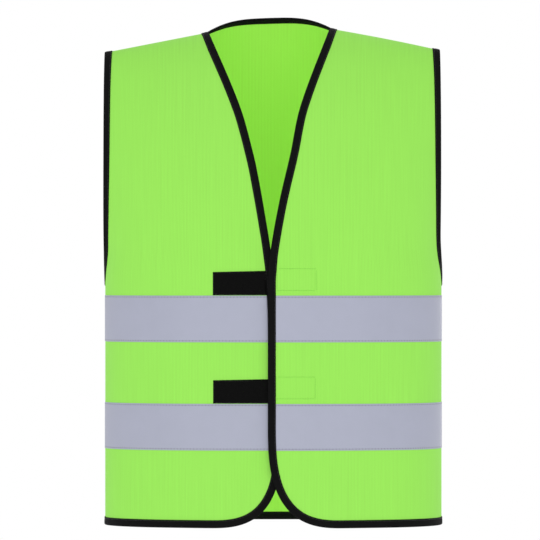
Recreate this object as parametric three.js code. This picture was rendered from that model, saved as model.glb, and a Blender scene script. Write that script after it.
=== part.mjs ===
// High visibility vest, closed at the front, in the shape that it has on a body.
// Millimetres, +Z up, +X towards the wearer's left, the front faces -Y.
// Heights are measured up from the hem while the pieces are made. The finished vest is then
// lowered, so that its origin lies between the two shoulder seams, at the height of their neck ends.
// The knit shell has three panels: a back and two fronts, the left one lying over the right one.

import * as THREE from 'three';

// Body of the vest
const HALF_WIDTH = 182.5; // middle to the cloth at a side seam
const BACK_DEPTH = 118; // side seams to the cloth at the middle of the back
const FRONT_DEPTH = 118; // side seams to the cloth of the right front at the middle
const OVERLAP_GAP = 0.5; // clearance between the hooks and the loops where they face each other
const SQUARENESS = 0.8; // power of the rounded plan section, 1 for an ellipse, less is squarer
const ARMHOLE_BOTTOM = 266; // height of the lowest point of an armhole
const ARMHOLE_DEPTH = 100; // widest front-to-back size of an armhole
const SHOULDER_END = 514; // height of the shoulder seam at the armhole
const NECK_RISE = 22; // rise of the shoulder seam from the armhole to the neck
const SHOULDER_SWELL = 0.12; // how far the shoulder line bows up, as a share of its rise

// Neck
const NECK_LEFT_X = 62.3; // neck end of the left shoulder seam
const NECK_RIGHT_X = -71.3; // neck end of the right shoulder seam
const NAPE_LIFT = 26; // rise of the back of the neck over the shoulder seams, before it is cut
const NAPE_CUT = 0.27; // how far below that the neckline is cut, as an angle of the shoulder's curve

// Front edges: the cloth's edge stands straight up to the foot of the V. Each neckline is then given
// as [share of the height from there to the neck, x].
const V_FOOT = 266; // height of the foot of the V
const LEFT_EDGE_X = -5.4;
const LEFT_NECKLINE = [[0.115, -2], [0.311, 7.6], [0.496, 19.2], [0.685, 30]];
const RIGHT_HEM_X = 11.9; // the right edge leans a little, and lies under the left one
const RIGHT_EDGE_X = -0.5; // at the foot of the V
const RIGHT_NECKLINE = [[0.115, -4.1], [0.2, -7.6], [0.393, -16.7], [0.496, -22.6], [0.685, -37]];
const CORNER_WIDTH = 80; // the rounded lower corner of each front
const CORNER_HEIGHT = 110;
const CORNER_SHAPE = 2.7; // power of the corner's curve, 2 for an ellipse

// Cloth, tape, binding and strips
const CLOTH = 0.8; // thickness of the knit
const LAYER_GAP = 0.45; // clearance between two layers that lie on each other
const SEAM_GAP = 0.3; // clearance between two panels at a seam
const BINDING_WIDTH = 8; // visible width of the folded binding
const BINDING_THICK = 0.7;
const BINDING_SLOT = 0.4; // clearance between a panel's edge and the fold of its binding
const TAPE_WIDTH = 50; // height of a reflective band
const TAPE_THICK = 0.5;
const LOWER_TAPE_HEIGHT = 82.5; // hem to the lower edge of the lower band
const TAPE_BELOW_ARMHOLE = 17.7; // upper edge of the upper band to the bottom of the armhole
const STRIP_WIDTH = 25; // height of a hook or loop strip
const STRIP_THICK = 1.2;
const LOOP_STRIP_LENGTH = 57;
const HOOK_STRIP_LENGTH = 45;
const LOOP_ABOVE_TAPE = 0.4; // a loop strip stands this far above its band
const HOOK_ABOVE_TAPE = 4.6;
const LABEL_WIDTH = 35; // blank care label, sewn into the left side seam inside the back
const LABEL_HEIGHT = 60;
const LABEL_THICK = 0.3;
const LABEL_FOOT = 20; // hem to the label's lower edge

// Fineness of the faces
const LOWER_ROWS = 1; // rows of faces from the hem to the armhole's height
const UPPER_ROWS = 20; // rows from there to the shoulder
const EDGE_COLUMNS = 11; // columns of faces in the part of a front next to its free edge
const EDGE_REACH = 75; // width of that part
const SIDE_COLUMNS = 14; // columns in the rest of a front
const NECK_COLUMNS = 18; // columns across the neck of the back
const SHOULDER_COLUMNS = 11; // columns across each shoulder of the back
const STRIP_COLUMNS = 5;

const clamp = THREE.MathUtils.clamp;
const lerp = THREE.MathUtils.lerp;
const signedPower = (value, power) => Math.sign(value) * Math.abs(value) ** power;

const QUARTER_TURN = Math.PI / 2;
const SHOULDER_NECK = SHOULDER_END + NECK_RISE; // height of the shoulder seam at the neck
const UPPER_TAPE_HEIGHT = ARMHOLE_BOTTOM - TAPE_BELOW_ARMHOLE - TAPE_WIDTH;
const NEAR_FACE = CLOTH / 2 + LAYER_GAP; // middle of the cloth to what lies on it
const OVERLAP_STEP = 2 * (NEAR_FACE + STRIP_THICK) + OVERLAP_GAP; // the left front lies further out
const LEAF_OUTER = NEAR_FACE + BINDING_THICK; // middle of the cloth to a binding's face
const BINDING_RIM = BINDING_SLOT + BINDING_THICK; // panel's edge to the outside of the fold
const BINDING_REACH = BINDING_WIDTH - BINDING_RIM; // panel's edge to the inner edge of the binding

const alongNeckline = ([share, x]) => [lerp(V_FOOT, SHOULDER_NECK, share), x];
const LEFT_EDGE = [[V_FOOT, LEFT_EDGE_X], ...LEFT_NECKLINE.map(alongNeckline),
  [SHOULDER_NECK, NECK_LEFT_X]];
const RIGHT_EDGE = [[0, RIGHT_HEM_X], [V_FOOT, RIGHT_EDGE_X], ...RIGHT_NECKLINE.map(alongNeckline),
  [SHOULDER_NECK, NECK_RIGHT_X]];

// The three panels. side is -1 for a front and 1 for the back; hand is 1 left and -1 right.
const BACK = { side: 1, depth: BACK_DEPTH };
const LEFT = { side: -1, hand: 1, depth: FRONT_DEPTH + OVERLAP_STEP, edge: LEFT_EDGE };
const RIGHT = { side: -1, hand: -1, depth: FRONT_DEPTH, edge: RIGHT_EDGE };

const knit = new THREE.MeshStandardMaterial({ color: 0x9eed62, roughness: 0.9, metalness: 0 });
const reflective = new THREE.MeshStandardMaterial({ color: 0xacb0c4, roughness: 0.45, metalness: 0.2 });
const blackWebbing = new THREE.MeshStandardMaterial({ color: 0x18141a, roughness: 0.85, metalness: 0 });
const blackPile = new THREE.MeshStandardMaterial({ color: 0x141214, roughness: 0.95, metalness: 0 });
const whiteSatin = new THREE.MeshStandardMaterial({ color: 0xeeeeea, roughness: 0.5, metalness: 0 });

// ---- The shape that the cloth lies in ----
// A spot on a panel is an angle round the body, 0 at the middle and a quarter turn at the side seam,
// and a rise: a share of the height up to the shoulder line, negative below the armhole and an angle
// above it, where the cloth curves over to the shoulder seam at a quarter turn.

// Height of the shoulder seam, and of the back of the neck before its cut, at a distance x.
function ridgeHeight(x) {
  const neck = x < 0 ? NECK_RIGHT_X : NECK_LEFT_X;
  if (Math.abs(x) >= Math.abs(neck)) {
    const share = (HALF_WIDTH - Math.abs(x)) / (HALF_WIDTH - Math.abs(neck));
    const bowed = share + SHOULDER_SWELL * Math.sin(Math.PI * share);
    return lerp(SHOULDER_END, SHOULDER_NECK, bowed);
  }
  const middle = (NECK_LEFT_X + NECK_RIGHT_X) / 2;
  const across = (x - middle) / ((NECK_LEFT_X - NECK_RIGHT_X) / 2);
  return SHOULDER_NECK + NAPE_LIFT * Math.cos(QUARTER_TURN * across) ** 2;
}

const climb = (rise) => (rise > 0 ? Math.sin(rise) : rise);
const heightAt = (x, rise) => ARMHOLE_BOTTOM + (ridgeHeight(x) - ARMHOLE_BOTTOM) * climb(rise);

function riseAt(x, height) {
  const share = (height - ARMHOLE_BOTTOM) / (ridgeHeight(x) - ARMHOLE_BOTTOM);
  return share > 0 ? Math.asin(Math.min(share, 1)) : share;
}

// Angle at which a panel ends: at the side seam, or on the armhole, which is an oval from the side.
function outerAngle(panel, rise) {
  const share = Math.max(climb(rise), 0);
  const depth = (ARMHOLE_DEPTH / panel.depth) * Math.sqrt(share / (1 + share));
  return Math.acos(depth ** (1 / SQUARENESS));
}

function acrossAt(panel, angle, rise) {
  return HALF_WIDTH * signedPower(Math.sin(angle) / Math.sin(outerAngle(panel, rise)), SQUARENESS);
}

function angleAt(panel, x, rise) {
  const sine = signedPower(x / HALF_WIDTH, 1 / SQUARENESS) * Math.sin(outerAngle(panel, rise));
  return Math.asin(clamp(sine, -1, 1));
}

function clothPoint(panel, angle, rise) {
  const x = acrossAt(panel, angle, rise);
  const depth = panel.depth * Math.cos(Math.max(rise, 0)) * Math.max(Math.cos(angle), 0) ** SQUARENESS;
  return new THREE.Vector3(x, panel.side * (SEAM_GAP / 2 + depth), heightAt(x, rise));
}

// The point, its two slopes and the direction out of the body, at a spot of a panel.
function clothFrame(panel, angle, rise) {
  const step = 0.01;
  const limit = outerAngle(panel, rise);
  const angles = [clamp(angle - step, -limit, limit), clamp(angle + step, -limit, limit)];
  const rises = [rise - step, Math.min(rise + step, QUARTER_TURN)];
  const across = clothPoint(panel, angles[1], rise).sub(clothPoint(panel, angles[0], rise));
  const up = clothPoint(panel, angle, rises[1]).sub(clothPoint(panel, angle, rises[0]));
  across.divideScalar(angles[1] - angles[0]);
  up.divideScalar(rises[1] - rises[0]);
  const out = across.clone().cross(up).normalize().multiplyScalar(-panel.side);
  return { point: clothPoint(panel, angle, rise), across, up, out };
}

function layerPoint(panel, angle, rise, offset) {
  const frame = clothFrame(panel, angle, rise);
  return frame.point.addScaledVector(frame.out, offset);
}

// ---- Outlines of the panels ----

// Distance of a front's free edge at a height: straight pieces below, then a smooth neckline.
function freeEdge(panel, height) {
  const points = panel.edge;
  const last = points.length - 2;
  const found = points.findIndex((point, i) => i > 0 && height <= point[0]) - 1;
  const i = found < 0 ? last : found;
  if (height <= points[0][0]) return points[0][1];
  const slope = (k) => {
    const a = points[Math.max(k - 1, 0)];
    const b = points[Math.min(k + 1, last + 1)];
    return (b[1] - a[1]) / (b[0] - a[0]);
  };
  const width = points[i + 1][0] - points[i][0];
  const t = Math.min((height - points[i][0]) / width, 1);
  const bend = (1 - t) * slope(i) * width * t * (1 - t) - t * slope(i + 1) * width * t * (1 - t);
  return lerp(points[i][1], points[i + 1][1], t * t * (3 - 2 * t)) + bend;
}

function freeEdgeAngle(panel, rise) {
  let x = freeEdge(panel, ARMHOLE_BOTTOM);
  for (let pass = 0; pass < 6; pass += 1) x = freeEdge(panel, heightAt(x, rise));
  return angleAt(panel, x, rise);
}

// Height of a front's lower edge at a distance from its free edge.
function hemHeight(distance) {
  const share = Math.max(1 - distance / CORNER_WIDTH, 0);
  return CORNER_HEIGHT * (1 - (1 - share ** CORNER_SHAPE) ** (1 / CORNER_SHAPE));
}

// Shares of the way from a front's free edge to its outer edge, closer together near the free edge.
function frontShares(panel) {
  const start = freeEdge(panel, 0);
  const first = angleAt(panel, start, 0);
  const reached = panel.hand * angleAt(panel, start + panel.hand * EDGE_REACH, 0);
  const angles = [];
  for (let i = 0; i < EDGE_COLUMNS; i += 1) {
    const x = start + panel.hand * EDGE_REACH * (i / EDGE_COLUMNS) ** 1.6;
    angles.push(panel.hand * angleAt(panel, x, 0));
  }
  for (let i = 0; i <= SIDE_COLUMNS; i += 1) angles.push(lerp(reached, QUARTER_TURN, i / SIDE_COLUMNS));
  return angles.map((angle) => (angle - panel.hand * first) / (QUARTER_TURN - panel.hand * first));
}

// Angle of a front's column at a rise.
function frontAngle(panel, share, rise) {
  return lerp(freeEdgeAngle(panel, rise), panel.hand * outerAngle(panel, rise), share);
}

// Share of the way up to the shoulder of a row above the armhole's bottom. The rows stand round
// the armhole's oval, closer together at its bottom and at the shoulder.
function upperShare(row) {
  const even = row / UPPER_ROWS;
  const turned = even - Math.sin(2 * Math.PI * even) / (4 * Math.PI);
  return Math.asin(Math.sin(QUARTER_TURN * turned) ** 2) / QUARTER_TURN;
}

// Spots of one column of a panel, from its foot to its top.
function columnSpots(angleOf, foot, top) {
  const spots = [];
  for (let row = 0; row < LOWER_ROWS; row += 1) spots.push(foot * (1 - row / LOWER_ROWS));
  for (let row = 0; row <= UPPER_ROWS; row += 1) spots.push(top * upperShare(row));
  return spots.map((rise) => ({ angle: angleOf(rise), rise }));
}

// A front's grid of spots: its columns run to +X, and each holds its rows from the hem upwards.
function frontGrid(panel) {
  const columns = frontShares(panel).map((share) => {
    const x = acrossAt(panel, frontAngle(panel, share, riseAt(0, 0)), 0);
    const foot = riseAt(x, hemHeight(Math.abs(x - freeEdge(panel, 0))));
    return columnSpots((rise) => frontAngle(panel, share, rise), foot, QUARTER_TURN);
  });
  return panel.hand > 0 ? columns : columns.reverse();
}

// Rise of the back's top edge: the shoulder seams, and the neckline cut down between them.
function backTop(share) {
  const x = acrossAt(BACK, share * outerAngle(BACK, QUARTER_TURN), QUARTER_TURN);
  const middle = (NECK_LEFT_X + NECK_RIGHT_X) / 2;
  const across = (x - middle) / ((NECK_LEFT_X - NECK_RIGHT_X) / 2);
  return QUARTER_TURN - NAPE_CUT * Math.cos(QUARTER_TURN * clamp(across, -1, 1));
}

const neckShare = (x) => angleAt(BACK, x, QUARTER_TURN) / outerAngle(BACK, QUARTER_TURN);

// The back's grid of spots: its columns run to -X, so that its faces point out of the body. They
// stand closer together at the two ends of the neck.
function backGrid() {
  const [left, right] = [neckShare(NECK_LEFT_X), neckShare(NECK_RIGHT_X)];
  const shares = [];
  for (let i = 0; i < SHOULDER_COLUMNS; i += 1) shares.push(lerp(1, left, i / SHOULDER_COLUMNS));
  for (let i = 0; i < NECK_COLUMNS; i += 1) {
    shares.push(lerp(left, right, (1 - Math.cos((Math.PI * i) / NECK_COLUMNS)) / 2));
  }
  for (let i = 0; i <= SHOULDER_COLUMNS; i += 1) shares.push(lerp(right, -1, i / SHOULDER_COLUMNS));
  return shares.map((share) => {
    const angleOf = (rise) => share * outerAngle(BACK, rise);
    return columnSpots(angleOf, riseAt(acrossAt(BACK, angleOf(-1), -1), 0), backTop(share));
  });
}

// ---- Pieces ----

function piece(name, geometry, material) {
  geometry.computeVertexNormals();
  const mesh = new THREE.Mesh(geometry, material);
  mesh.name = name;
  return mesh;
}

// A flat piece laid on a panel: a box whose faces follow a grid of spots, between two offsets.
function laidPiece(name, panel, grid, from, to, material) {
  const columns = grid.length - 1;
  const rows = grid[0].length - 1;
  const geometry = new THREE.BoxGeometry(columns, rows, 1, columns, rows, 1);
  const position = geometry.getAttribute('position');
  for (let i = 0; i < position.count; i += 1) {
    const column = Math.round(position.getX(i) + columns / 2);
    const row = Math.round(position.getY(i) + rows / 2);
    const spot = grid[column][row];
    const point = layerPoint(panel, spot.angle, spot.rise, position.getZ(i) > 0 ? to : from);
    position.setXYZ(i, point.x, point.y, point.z);
  }
  return piece(name, geometry, material);
}

function clothPanel(name, panel, grid) {
  return laidPiece(name, panel, grid, -CLOTH / 2, CLOTH / 2, knit);
}

// Directions across the binding, away from the panel's edge, one for each spot of a run.
// Inside the run they stand square to it; its two ends follow the seams that it stops at.
function inwardDirections(frames, firstInward, lastInward) {
  return frames.map((frame, i) => {
    if (i === 0) return firstInward(frame);
    if (i === frames.length - 1) return lastInward(frame);
    const before = frame.point.clone().sub(frames[i - 1].point).normalize();
    const after = frames[i + 1].point.clone().sub(frame.point).normalize();
    return frame.out.clone().cross(before.add(after)).normalize();
  });
}

// Spot of the cloth that lies nearest to a point, found from a spot close to it.
function nearestSpot(panel, start, target) {
  const spot = { ...start };
  for (let pass = 0; pass < 5; pass += 1) {
    const { point, across, up } = clothFrame(panel, spot.angle, spot.rise);
    const rest = target.clone().sub(point);
    const [aa, au, uu] = [across.dot(across), across.dot(up), up.dot(up)];
    const [a, u] = [rest.dot(across), rest.dot(up)];
    const size = aa * uu - au * au;
    spot.rise = Math.min(spot.rise + (u * aa - a * au) / size, QUARTER_TURN);
    const limit = outerAngle(panel, spot.rise);
    spot.angle = clamp(spot.angle + (a * uu - u * au) / size, -limit, limit);
  }
  return spot;
}

// A binding folded round a run of a panel's edge: its section is a U that holds the cloth.
function foldedBinding(name, panel, run, firstInward, lastInward) {
  const section = new THREE.Shape([
    [-BINDING_RIM, -LEAF_OUTER], [BINDING_REACH, -LEAF_OUTER], [BINDING_REACH, -NEAR_FACE],
    [-BINDING_SLOT, -NEAR_FACE], [-BINDING_SLOT, NEAR_FACE], [BINDING_REACH, NEAR_FACE],
    [BINDING_REACH, LEAF_OUTER], [-BINDING_RIM, LEAF_OUTER],
  ].map(([across, out]) => new THREE.Vector2(across, out)));
  const steps = run.length - 1;
  const geometry = new THREE.ExtrudeGeometry(section, { depth: steps, steps, bevelEnabled: false });
  const frames = run.map((spot) => clothFrame(panel, spot.angle, spot.rise));
  const inward = inwardDirections(frames, firstInward, lastInward);
  const position = geometry.getAttribute('position');
  for (let i = 0; i < position.count; i += 1) {
    const [across, out] = [position.getX(i), position.getY(i)];
    const k = Math.round(position.getZ(i));
    let point = frames[k].point.clone().addScaledVector(inward[k], across);
    if (across > 0) {
      const spot = nearestSpot(panel, run[k], point);
      point = layerPoint(panel, spot.angle, spot.rise, out);
    } else point.addScaledVector(frames[k].out, out);
    position.setXYZ(i, point.x, point.y, point.z);
  }
  return piece(name, geometry, blackWebbing);
}

const alongAcross = (sign) => (frame) => frame.across.clone().normalize().multiplyScalar(sign);
const straightUp = () => new THREE.Vector3(0, 0, 1);
const straightDown = () => new THREE.Vector3(0, 0, -1);

// The binding of a front's free edge: neckline, front edge, rounded corner and hem.
function frontEdgeBinding(name, panel, grid) {
  const isLeft = panel.hand > 0;
  const upright = isLeft ? [...grid[0]].reverse() : grid[grid.length - 1];
  const hem = grid.map((column) => column[0]);
  const alongNeck = alongAcross(panel.hand);
  if (isLeft) return foldedBinding(name, panel, upright.concat(hem.slice(1)), alongNeck, straightUp);
  return foldedBinding(name, panel, hem.concat(upright.slice(1)), straightUp, alongNeck);
}

// The binding of one panel's share of an armhole. hand is 1 for the left armhole.
function armholeBinding(name, panel, grid, hand) {
  const outer = hand * -panel.side > 0 ? grid[grid.length - 1] : grid[0];
  const run = outer.slice(LOWER_ROWS);
  const atShoulder = alongAcross(-hand);
  if (hand * -panel.side > 0) return foldedBinding(name, panel, run, straightDown, atShoulder);
  return foldedBinding(name, panel, run.reverse(), atShoulder, straightDown);
}

function backNeckBinding(grid) {
  const neck = grid.slice(SHOULDER_COLUMNS, SHOULDER_COLUMNS + NECK_COLUMNS + 1);
  const run = neck.map((column) => column[column.length - 1]);
  return foldedBinding('back_neck_binding', BACK, run.reverse(), alongAcross(-1), alongAcross(1));
}

function backHemBinding(grid) {
  return foldedBinding('back_hem_binding', BACK, grid.map((column) => column[0]), straightUp, straightUp);
}

// Spot of a panel at a distance x and a height.
function spotAt(panel, x, height) {
  const rise = riseAt(x, height);
  return { angle: angleAt(panel, x, rise), rise };
}

// Distance of the inner edge of a front's binding, with its clearance, at a height.
function besideBinding(panel, height) {
  const upright = Math.max(1 - height / CORNER_HEIGHT, 0) ** CORNER_SHAPE;
  const rounded = CORNER_WIDTH * (1 - (1 - upright) ** (1 / CORNER_SHAPE));
  return freeEdge(panel, height) + panel.hand * (rounded + BINDING_REACH + 2 * LAYER_GAP);
}

// A reflective band across a front, from its binding to the side seam, on the panel's own columns.
function frontTape(name, panel, bottom) {
  const heights = [bottom, bottom + TAPE_WIDTH];
  const start = Math.max(...heights.map((height) => panel.hand * besideBinding(panel, height)));
  const across = (share, height) => acrossAt(panel, frontAngle(panel, share, riseAt(0, height)), 0);
  const shares = frontShares(panel).filter((share) => panel.hand * across(share, bottom) > start + 1);
  const grid = shares.map((share) => heights.map((height) => spotAt(panel, across(share, height), height)));
  grid.unshift(heights.map((height) => spotAt(panel, besideBinding(panel, height), height)));
  if (panel.hand < 0) grid.reverse();
  return laidPiece(name, panel, grid, NEAR_FACE, NEAR_FACE + TAPE_THICK, reflective);
}

function backTape(name, grid, bottom) {
  const spots = grid.map((column) => [bottom, bottom + TAPE_WIDTH].map((height) => {
    const angle = column[0].angle;
    return { angle, rise: riseAt(acrossAt(BACK, angle, -1), height) };
  }));
  return laidPiece(name, BACK, spots, NEAR_FACE, NEAR_FACE + TAPE_THICK, reflective);
}

// A hook or loop strip, from the binding of a front along a band: face is 1 outside, -1 inside.
function fasteningStrip(name, panel, bottom, length, face) {
  const heights = [bottom, bottom + STRIP_WIDTH];
  const start = Math.max(...heights.map((height) => panel.hand * besideBinding(panel, height)));
  const grid = [];
  for (let i = 0; i <= STRIP_COLUMNS; i += 1) {
    const x = panel.hand * (start + (length * i) / STRIP_COLUMNS);
    grid.push(heights.map((height) => spotAt(panel, x, height)));
  }
  if (panel.hand < 0) grid.reverse();
  const offsets = [face * NEAR_FACE, face * (NEAR_FACE + STRIP_THICK)].sort((a, b) => a - b);
  return laidPiece(name, panel, grid, ...offsets, blackPile);
}

// The care label lies on the inside of the back, with one edge in the left side seam.
function careLabel() {
  const columns = 4;
  const grid = [];
  for (let i = 0; i <= columns; i += 1) {
    const depth = (LABEL_WIDTH * i) / columns / BACK_DEPTH;
    const angle = Math.acos(depth ** (1 / SQUARENESS));
    const x = acrossAt(BACK, angle, -1);
    const heights = [LABEL_FOOT, LABEL_FOOT + LABEL_HEIGHT];
    grid.push(heights.map((height) => ({ angle, rise: riseAt(x, height) })));
  }
  return laidPiece('care_label', BACK, grid, -NEAR_FACE - LABEL_THICK, -NEAR_FACE, whiteSatin);
}

function backPieces() {
  const grid = backGrid();
  return [
    clothPanel('back_panel', BACK, grid),
    backNeckBinding(grid),
    backHemBinding(grid),
    armholeBinding('left_armhole_binding_back', BACK, grid, 1),
    armholeBinding('right_armhole_binding_back', BACK, grid, -1),
    backTape('upper_tape_back', grid, UPPER_TAPE_HEIGHT),
    backTape('lower_tape_back', grid, LOWER_TAPE_HEIGHT),
    careLabel(),
  ];
}

// A front with its bindings, bands and fastening strips. face is the side that its strips lie on.
function frontPieces(hand, panel, stripKind, stripLength, stripAbove, face) {
  const grid = frontGrid(panel);
  const bands = [['upper', UPPER_TAPE_HEIGHT], ['lower', LOWER_TAPE_HEIGHT]];
  return [
    clothPanel(`${hand}_front_panel`, panel, grid),
    frontEdgeBinding(`${hand}_front_edge_binding`, panel, grid),
    armholeBinding(`${hand}_armhole_binding_front`, panel, grid, panel.hand),
    ...bands.map(([name, bottom]) => frontTape(`${name}_tape_${hand}_front`, panel, bottom)),
    ...bands.map(([name, bottom]) => fasteningStrip(`${name}_${stripKind}_strip`, panel,
      bottom + TAPE_WIDTH + stripAbove, stripLength, face)),
  ];
}

const back = new THREE.Group();
back.add(...backPieces());

const leftFront = new THREE.Group();
leftFront.add(...frontPieces('left', LEFT, 'hook', HOOK_STRIP_LENGTH, HOOK_ABOVE_TAPE, -1));

const rightFront = new THREE.Group();
rightFront.add(...frontPieces('right', RIGHT, 'loop', LOOP_STRIP_LENGTH, LOOP_ABOVE_TAPE, 1));

const vest = new THREE.Group();
vest.add(back, leftFront, rightFront);
vest.position.z = -SHOULDER_NECK;

export default vest;
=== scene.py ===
"""High visibility vest: knit panels, reflective bands, folded bindings, hook and loop strips,
care label, seams and stitching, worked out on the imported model's own frame. Lengths are metres.

Heights are measured up from the hem while a piece is worked out, and every finished point is then
lowered so that the shoulder seams' neck ends lie at height zero, as in the frame.
"""

import math

import bpy
import numpy as np
from bpy.props import FloatProperty, FloatVectorProperty, PointerProperty
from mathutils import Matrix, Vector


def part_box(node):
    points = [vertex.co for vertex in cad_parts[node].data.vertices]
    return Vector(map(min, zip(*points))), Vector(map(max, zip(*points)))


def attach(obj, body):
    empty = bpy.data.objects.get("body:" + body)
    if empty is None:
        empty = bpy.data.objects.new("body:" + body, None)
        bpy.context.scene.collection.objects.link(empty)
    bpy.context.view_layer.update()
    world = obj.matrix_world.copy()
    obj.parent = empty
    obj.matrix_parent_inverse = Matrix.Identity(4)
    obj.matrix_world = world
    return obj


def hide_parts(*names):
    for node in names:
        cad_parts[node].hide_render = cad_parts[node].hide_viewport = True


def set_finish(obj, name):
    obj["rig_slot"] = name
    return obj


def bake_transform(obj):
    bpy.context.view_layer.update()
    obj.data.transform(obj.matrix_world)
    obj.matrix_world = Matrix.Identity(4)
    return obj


bl_info = {
    "name": "High visibility vest",
    "version": (1, 0, 0),
    "blender": (4, 5, 0),
    "location": "View3D > Sidebar > Vest",
    "description": "Makes the cloth, trims, stitching and studio of a high visibility vest",
    "category": "Object",
}

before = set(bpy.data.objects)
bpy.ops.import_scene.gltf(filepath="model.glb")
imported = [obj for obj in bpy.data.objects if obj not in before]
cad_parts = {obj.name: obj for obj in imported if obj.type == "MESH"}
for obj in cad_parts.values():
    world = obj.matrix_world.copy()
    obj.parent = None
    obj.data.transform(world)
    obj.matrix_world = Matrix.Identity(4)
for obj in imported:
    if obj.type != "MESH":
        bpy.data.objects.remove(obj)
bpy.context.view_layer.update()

# Shape that the cloth lies in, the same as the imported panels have
QUARTER = math.pi / 2
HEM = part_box("back_panel")[0].z  # the hem's height in the frame
CLOTH = 0.0008
HALF_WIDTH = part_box("back_panel")[1].x - CLOTH / 2
BACK_DEPTH = 0.118
FRONT_DEPTH = 0.118
OVERLAP_STEP = 0.0046  # the left front lies this much further out than the right one
SEAM_GAP = 0.0001
SQUARENESS = 0.8  # power of the rounded plan section, 1 for an ellipse, less is squarer
ARMHOLE_BOTTOM = 0.266
ARMHOLE_DEPTH = 0.1
SHOULDER_END = 0.514
SHOULDER_NECK = 0.536
WORN_SHOULDERS = {1: (0.0009, 0.002, 0.03), -1: (-0.0018, -0.0022, 0.0)}  # ends' lift, and swell
NECK_LEFT_X = 0.0623
NECK_RIGHT_X = -0.0713
NAPE_LIFT = 0.025
NAPE_CUT = 0.27  # depth of the back's neckline, as an angle of the shoulder's curve
DRAWN_IN = 0.0056  # how far the cloth is drawn in beside the armholes
LEFT_PULL = 0.0024  # and how much more on the left side
V_FOOT = 0.266
LEFT_EDGE_X = -0.0049
LEFT_NECKLINE = ((0.115, -0.002), (0.311, 0.0076), (0.496, 0.0192), (0.685, 0.03))
RIGHT_HEM_X = 0.0119  # the right edge leans a little, and lies under the left one
RIGHT_EDGE_X = -0.0005
RIGHT_NECKLINE = (
    (0.115, -0.0041), (0.2, -0.0076), (0.393, -0.0167), (0.496, -0.0226), (0.685, -0.037),
)
CORNER_WIDTH = 0.08
CORNER_HEIGHT = 0.1085
CORNER_SHAPE = 2.78
HEM_LIFT = 0.0005
TAPE_WIDTH = 0.05
TAPE_FEET = {"upper": 0.1983, "lower": 0.0825}  # lower edges of the bands
BINDING_REACH = 0.0075  # panel's edge to the inner edge of its binding
TUCKED = 0.0006  # how far bands and strips reach under the binding
STRIP_WIDTH = 0.025
STRIP_ENDS = {"upper": -0.0649, "lower": -0.0646}  # x of the loop strips' outer ends
HOOK_LENGTH = 0.0435
ABOVE_BAND = {"loop": 0.0004, "hook": 0.0046}  # a band's upper edge to the strip over it
SKIN = CLOTH / 2 + 0.00006  # middle of the cloth to the underside of what is sewn on it
LABEL_REACH = 0.035  # seam to the label's free end
LABEL_FOOT = 0.02
LABEL_HEIGHT = 0.06
SIDE_ALLOWANCE = (-0.0018, 0.0062)  # how far a side seam's cloth reaches to its two sides
SHOULDER_ALLOWANCE = (0.0004, 0.0065)
STRIP_STITCH_PITCH = 0.0027
STRIP_STITCH_INSET = 0.0009
OVERLOCK_PITCH = 0.0019
OVERLOCK_LENGTH = 0.0042
OVERLOCK_RADIUS = 0.00016

# Studio
WHITE_STUDIO = (1.0, 1.0, 1.0)
ROOM_LIGHT = 0.77  # of the white room, which is seen at full strength behind the vest
FLOOR_HALF = 3.1
FLOOR_HEIGHT = -0.71
FLOOR_THICKNESS = 0.02
SOFTBOX_SIZE = 3.0
SOFTBOXES = {"front_softbox": ((-0.15, -3.3, 0.5), 20.0), "back_softbox": ((0.5, 3.2, 0.8), 22.0)}
LIT_SPOT = (0, 0, -0.26)
CAMERA_PLACE = (-0.0037, -6.618, -0.2603)
CAMERA_LENS = 405.2


# ---- Sizes and colours ----


class VestSizes(bpy.types.PropertyGroup):
    """Sizes of the vest's finish"""

    wale_pitch: FloatProperty(
        name="Wale pitch", description="Distance between two ribs of the knit",
        default=0.0016, unit="LENGTH", precision=5)
    drape: FloatProperty(
        name="Drape", description="Height of the cloth's soft waves near the hem",
        default=0.0008, unit="LENGTH", precision=5)
    tape_thickness: FloatProperty(
        name="Tape thickness", description="Thickness of the reflective tape",
        default=0.0004, unit="LENGTH", precision=5)
    tape_stitch_inset: FloatProperty(
        name="Tape stitch inset", description="Edge of a band to its row of stitches",
        default=0.0016, unit="LENGTH", precision=5)
    stitch_pitch: FloatProperty(
        name="Stitch pitch", description="Distance between two needle holes",
        default=0.0036, unit="LENGTH", precision=5)
    thread_radius: FloatProperty(
        name="Thread radius", description="Half the thickness of the sewing thread",
        default=0.00022, unit="LENGTH", precision=5)
    pile_height: FloatProperty(
        name="Pile height", description="Height of the loops over their ground",
        default=0.0009, unit="LENGTH", precision=5)


class VestColours(bpy.types.PropertyGroup):
    """Colours of the vest's materials"""

    knit: FloatVectorProperty(
        name="Knit", description="Colour of the lime knit",
        default=(0.331, 0.815, 0.106), size=3, subtype="COLOR")
    # Painted glow: colour of the light that the inside of the back gives of its own, standing in for
    # the light that comes through the cloth
    painted_glow: FloatVectorProperty(
        name="Glow", description="Colour of the light that comes through the back",
        default=(0.54, 0.93, 0.075), size=3, subtype="COLOR")
    tape: FloatVectorProperty(
        name="Tape", description="Colour of the reflective tape",
        default=(0.41, 0.424, 0.531), size=3, subtype="COLOR")
    binding: FloatVectorProperty(
        name="Binding", description="Colour of the folded bindings",
        default=(0.0045, 0.0045, 0.0047), size=3, subtype="COLOR")
    pile: FloatVectorProperty(
        name="Pile", description="Colour of the hook and loop strips",
        default=(0.0035, 0.0035, 0.0035), size=3, subtype="COLOR")
    label: FloatVectorProperty(
        name="Label", description="Colour of the satin label",
        default=(0.82, 0.82, 0.79), size=3, subtype="COLOR")
    floor: FloatVectorProperty(
        name="Floor", description="Colour of the floor",
        default=(0.86, 0.86, 0.86), size=3, subtype="COLOR")


def sizes():
    return bpy.context.scene.vest_sizes


def colours():
    return bpy.context.scene.vest_colours


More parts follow.
